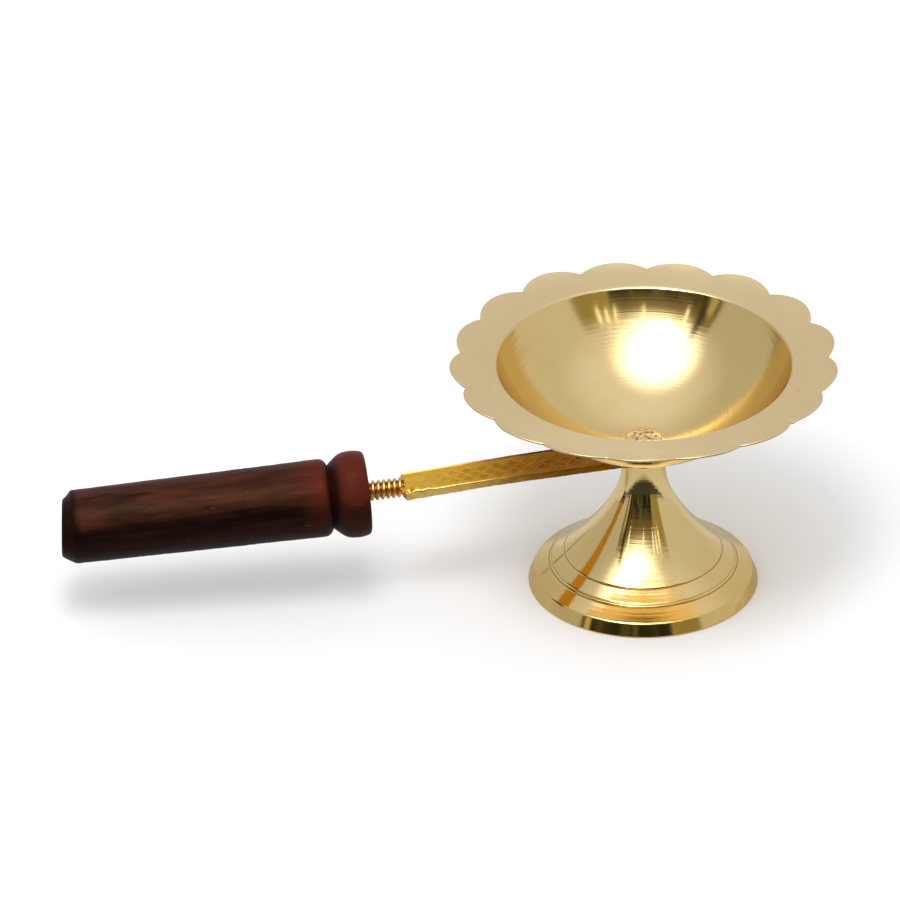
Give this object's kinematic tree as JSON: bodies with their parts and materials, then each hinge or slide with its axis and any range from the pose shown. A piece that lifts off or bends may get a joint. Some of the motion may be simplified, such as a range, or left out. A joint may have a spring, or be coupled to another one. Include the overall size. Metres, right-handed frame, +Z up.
{
  "type": "aarti lamp",
  "caption": "Brass aarti oil lamp: a scalloped open bowl on a flared hollow foot, with a flat lattice arm and a turned wooden grip screwed onto its threaded stud.",
  "frame": {"origin": "centre of the foot's base ring, on the surface that the lamp stands on", "axes": "+Z up along the bolt's axis, the handle points along -X and droops 3.8 degrees, +Y completes the right-handed frame"},
  "size_m": [0.201, 0.1001, 0.065],
  "materials": {
    "polished_brass": "turned and polished",
    "bolt_brass": "hammered head",
    "fastener_steel": "plated",
    "cast_brass": "as cast, dull",
    "stud_brass": "threaded, dull",
    "stained_wood": "dark stain, satin lacquer"
  },
  "bodies": {
    "stand": {"foot": "polished_brass", "bowl": "polished_brass", "bowl_bolt": "bolt_brass", "bolt_washer": "fastener_steel", "bolt_nut": "fastener_steel"},
    "arm": {"handle_arm": "cast_brass", "handle_stud": "stud_brass"},
    "bush": {"handle_bush": "stud_brass"},
    "grip": {"handle_grip": "stained_wood"}
  },
  "joints": [
    {"name": "arm_swivel", "type": "hinge", "parent": "stand", "child": "arm", "pos_m": [0, 0, 0.03785], "axis": [0, 0, 1], "continuous": true},
    {"name": "handle_advance", "type": "slide", "parent": "arm", "child": "bush", "axis": [-0.9978, 0, -0.0663], "range_m": [-0.0085, 0.0181]},
    {"name": "handle_turn", "type": "hinge", "parent": "bush", "child": "grip", "pos_m": [-0.07178, 0, 0.03137], "axis": [-0.9978, 0, -0.0663], "range_deg": [-2160, 4628.57]}
  ],
  "couplings": [
    {"joint": "handle_advance", "follows": "handle_turn", "m_per_rad": 0.00022282}
  ]
}
